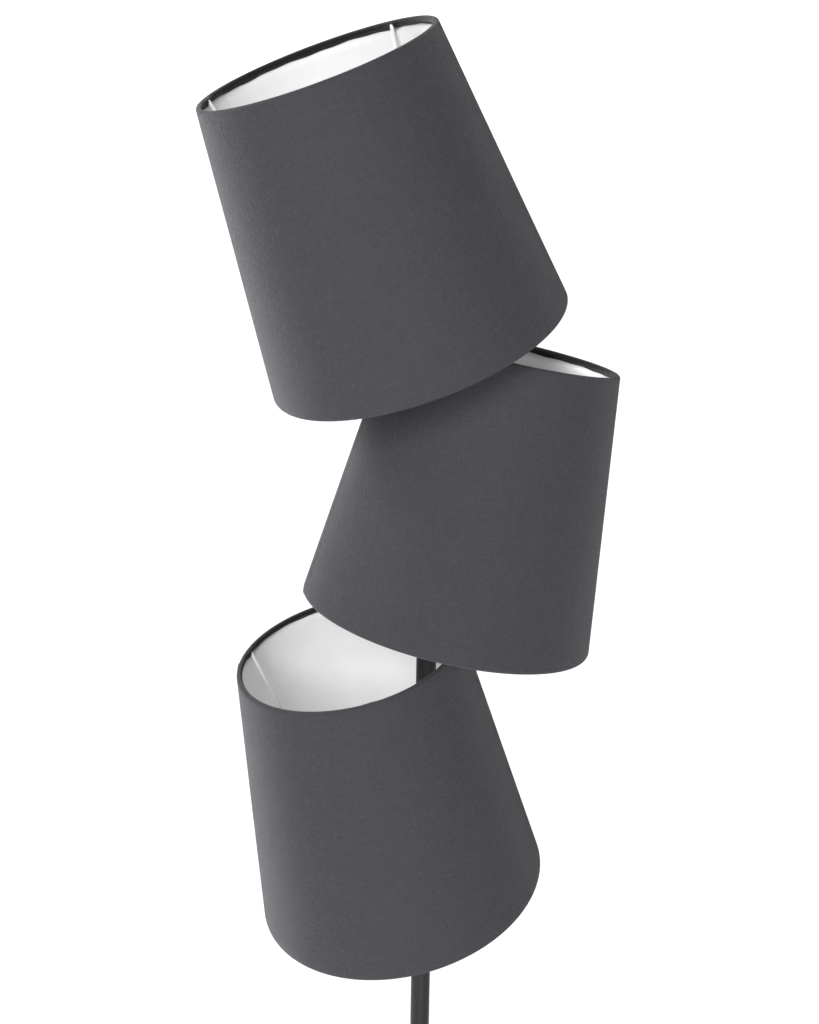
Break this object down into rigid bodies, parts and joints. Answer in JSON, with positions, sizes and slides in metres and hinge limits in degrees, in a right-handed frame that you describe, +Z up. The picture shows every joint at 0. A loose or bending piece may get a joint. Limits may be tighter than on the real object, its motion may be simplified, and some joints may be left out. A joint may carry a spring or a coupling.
{
  "type": "floor lamp",
  "caption": "Floor lamp with tilted drum shades of dark fabric stacked in a zigzag round one upright pole on a round weighted base.",
  "frame": {"origin": "centre of the underside of the base, on the floor, on the axis of the pole", "axes": "+Z up along the pole. The shades lean in the XZ plane: the middle shade stands out to +X, the upper and lower ones to -X. +Y is the back of the lamp in the picture, where the cord inlet is."},
  "size_m": [0.3858, 0.2917, 1.5991],
  "materials": {
    "charcoal_fabric": "fine plain-woven cotton on film, charcoal, matt with a soft sheen",
    "white_film": "smooth white film",
    "white_paint": "white powder coat on steel wire",
    "black_paint": "satin black powder coat on steel",
    "black_plastic": "moulded black thermoset",
    "brass": "rolled brass",
    "zinc_steel": "zinc-plated steel",
    "cast_iron": "cast iron, lacquered",
    "felt": "black needle felt",
    "black_rubber": "black rubber",
    "bulb_metal": "nickel-plated screw cap",
    "opal_glass": "opal white glass"
  },
  "bodies": {
    "stand": {"base_cover": "black_paint", "base_nut": "zinc_steel", "base_pad": "felt", "base_stud": "zinc_steel", "base_washer": "zinc_steel", "base_weight": "cast_iron", "cord_bush": "black_rubber", "pole_bottom": "black_paint", "pole_cap": "black_paint", "pole_flange": "black_paint", "pole_foot": "zinc_steel", "pole_joiner_high": "zinc_steel", "pole_joiner_low": "zinc_steel", "pole_middle": "black_paint", "pole_top": "black_paint", "seat_rings": "black_paint"},
    "upper_head": {"upper_arm": "black_paint", "upper_bottom_ring": "white_paint", "upper_bulb_cap": "bulb_metal", "upper_bulb_glass": "opal_glass", "upper_collar": "black_paint", "upper_collar_screw": "zinc_steel", "upper_holder_body": "black_plastic", "upper_holder_cap": "black_plastic", "upper_shade_cover": "charcoal_fabric", "upper_shade_liner": "white_film", "upper_shade_nut": "black_plastic", "upper_spider": "white_paint", "upper_thread_sleeve": "brass", "upper_top_ring": "white_paint"},
    "middle_head": {"middle_arm": "black_paint", "middle_bottom_ring": "white_paint", "middle_bulb_cap": "bulb_metal", "middle_bulb_glass": "opal_glass", "middle_collar": "black_paint", "middle_collar_screw": "zinc_steel", "middle_holder_body": "black_plastic", "middle_holder_cap": "black_plastic", "middle_shade_cover": "charcoal_fabric", "middle_shade_liner": "white_film", "middle_shade_nut": "black_plastic", "middle_spider": "white_paint", "middle_thread_sleeve": "brass", "middle_top_ring": "white_paint"},
    "lower_head": {"lower_arm": "black_paint", "lower_bottom_ring": "white_paint", "lower_bulb_cap": "bulb_metal", "lower_bulb_glass": "opal_glass", "lower_collar": "black_paint", "lower_collar_screw": "zinc_steel", "lower_holder_body": "black_plastic", "lower_holder_cap": "black_plastic", "lower_shade_cover": "charcoal_fabric", "lower_shade_liner": "white_film", "lower_shade_nut": "black_plastic", "lower_spider": "white_paint", "lower_thread_sleeve": "brass", "lower_top_ring": "white_paint"}
  },
  "joints": [
    {"name": "upper_head_swivel", "type": "hinge", "parent": "stand", "child": "upper_head", "pos_m": [0, 0, 1.3456], "axis": [0, 0, 1], "range_deg": [-20, 20]},
    {"name": "middle_head_swivel", "type": "hinge", "parent": "stand", "child": "middle_head", "pos_m": [0, 0, 1.0801], "axis": [0, 0, 1], "range_deg": [-20, 20]},
    {"name": "lower_head_swivel", "type": "hinge", "parent": "stand", "child": "lower_head", "pos_m": [0, 0, 0.7984], "axis": [0, 0, 1], "range_deg": [-20, 20]}
  ]
}
